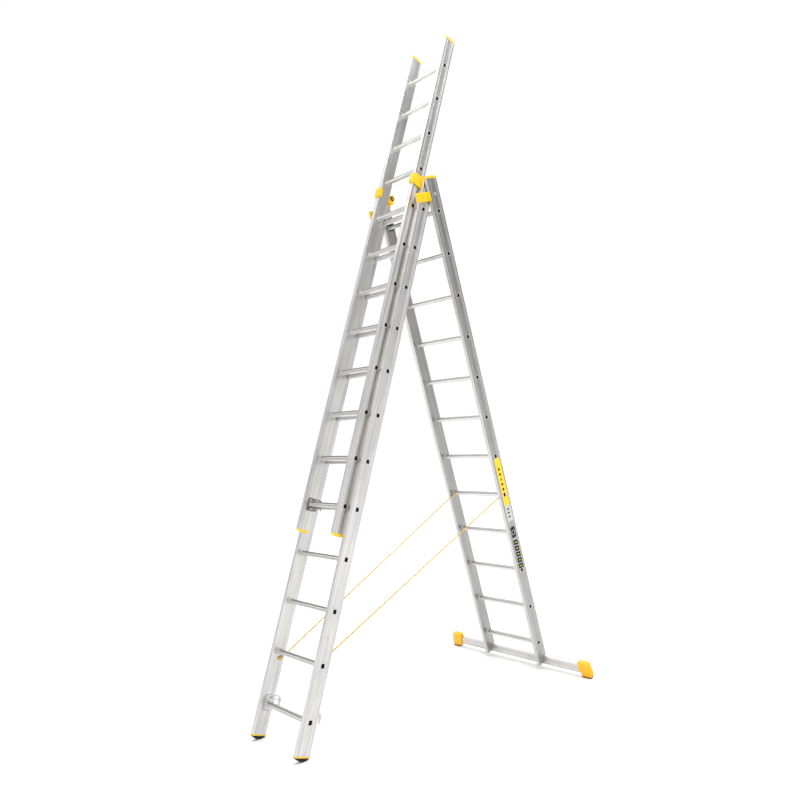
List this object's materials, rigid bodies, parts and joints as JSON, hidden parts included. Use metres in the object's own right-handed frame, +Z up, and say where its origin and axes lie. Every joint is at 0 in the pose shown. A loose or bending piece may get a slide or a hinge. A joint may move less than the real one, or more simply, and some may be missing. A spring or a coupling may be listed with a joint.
{
  "type": "combination extension ladder",
  "caption": "Aluminium combination ladder standing as an A-frame, its sliding top section extended, with stabiliser bar, spreader ropes and yellow end fittings.",
  "frame": {"origin": "on the ground, at the middle of the footprint", "axes": "+X across the rungs to the climber's right, -Y the climbing side, +Z up"},
  "size_m": [1.242, 2.1792, 4.4362],
  "materials": {
    "aluminium": "mill-finish extrusion with fine lengthwise grain",
    "yellow_plastic": "moulded, satin, fine texture",
    "black_rubber": "matt moulded rubber",
    "zinc_steel": "bright zinc plate on pressed steel",
    "rope_fibre": "braided polypropylene rope"
  },
  "bodies": {
    "base_section": {"base_stile_left": "aluminium", "base_stile_right": "aluminium", "base_rung_01": "aluminium", "base_rung_02": "aluminium", "base_rung_03": "aluminium", "base_rung_04": "aluminium", "base_rung_05": "aluminium", "base_rung_06": "aluminium", "base_rung_07": "aluminium", "base_rung_08": "aluminium", "base_rung_09": "aluminium", "base_rung_10": "aluminium", "base_rung_11": "aluminium", "base_rung_12": "aluminium", "stabiliser_bar": "aluminium", "stabiliser_boot_left": "yellow_plastic", "stabiliser_boot_right": "yellow_plastic", "hinge_arm_left": "yellow_plastic", "hinge_arm_right": "yellow_plastic"},
    "middle_section": {"middle_stile_left": "aluminium", "middle_stile_right": "aluminium", "middle_rung_01": "aluminium", "middle_rung_02": "aluminium", "middle_rung_03": "aluminium", "middle_rung_04": "aluminium", "middle_rung_05": "aluminium", "middle_rung_06": "aluminium", "middle_rung_07": "aluminium", "middle_rung_08": "aluminium", "middle_rung_09": "aluminium", "middle_rung_10": "aluminium", "middle_rung_11": "aluminium", "middle_rung_12": "aluminium", "middle_rung_hook_left": "zinc_steel", "middle_rung_hook_right": "zinc_steel", "front_foot_left": "black_rubber", "front_foot_right": "black_rubber", "guide_bracket_left": "yellow_plastic", "guide_bracket_right": "yellow_plastic", "spreader_rope_left": "rope_fibre", "spreader_rope_right": "rope_fibre"},
    "top_section": {"top_stile_left": "aluminium", "top_stile_right": "aluminium", "top_rung_01": "aluminium", "top_rung_02": "aluminium", "top_rung_03": "aluminium", "top_rung_04": "aluminium", "top_rung_05": "aluminium", "top_rung_06": "aluminium", "top_rung_07": "aluminium", "top_rung_08": "aluminium", "top_rung_09": "aluminium", "top_rung_10": "aluminium", "top_rung_11": "aluminium", "top_rung_12": "aluminium", "top_rung_hook_left": "zinc_steel", "top_rung_hook_right": "zinc_steel"},
    "catch_left": {"hook_catch_left": "zinc_steel"},
    "catch_right": {"hook_catch_right": "zinc_steel"}
  },
  "joints": [
    {"name": "a_frame_fold", "type": "hinge", "parent": "base_section", "child": "middle_section", "pos_m": [0, -0.00169, 3.20097], "axis": [1, 0, 0], "range_deg": [0, 34.4], "deforming": ["spreader_rope_left", "spreader_rope_right"]},
    {"name": "top_section_slide", "type": "slide", "parent": "middle_section", "child": "top_section", "axis": [0, 0.304, 0.9527], "range_m": [-1.12, 1.4]},
    {"name": "catch_left_turn", "type": "hinge", "parent": "top_section", "child": "catch_left", "pos_m": [-0.148, -0.71877, 1.24268], "axis": [1, 0, 0], "range_deg": [-50, 0], "stiffness_Nm_per_rad": 0.06, "springref_deg": 34.38},
    {"name": "catch_right_turn", "type": "hinge", "parent": "top_section", "child": "catch_right", "pos_m": [0.148, -0.71877, 1.24268], "axis": [1, 0, 0], "range_deg": [-50, 0], "stiffness_Nm_per_rad": 0.06, "springref_deg": 34.38}
  ]
}
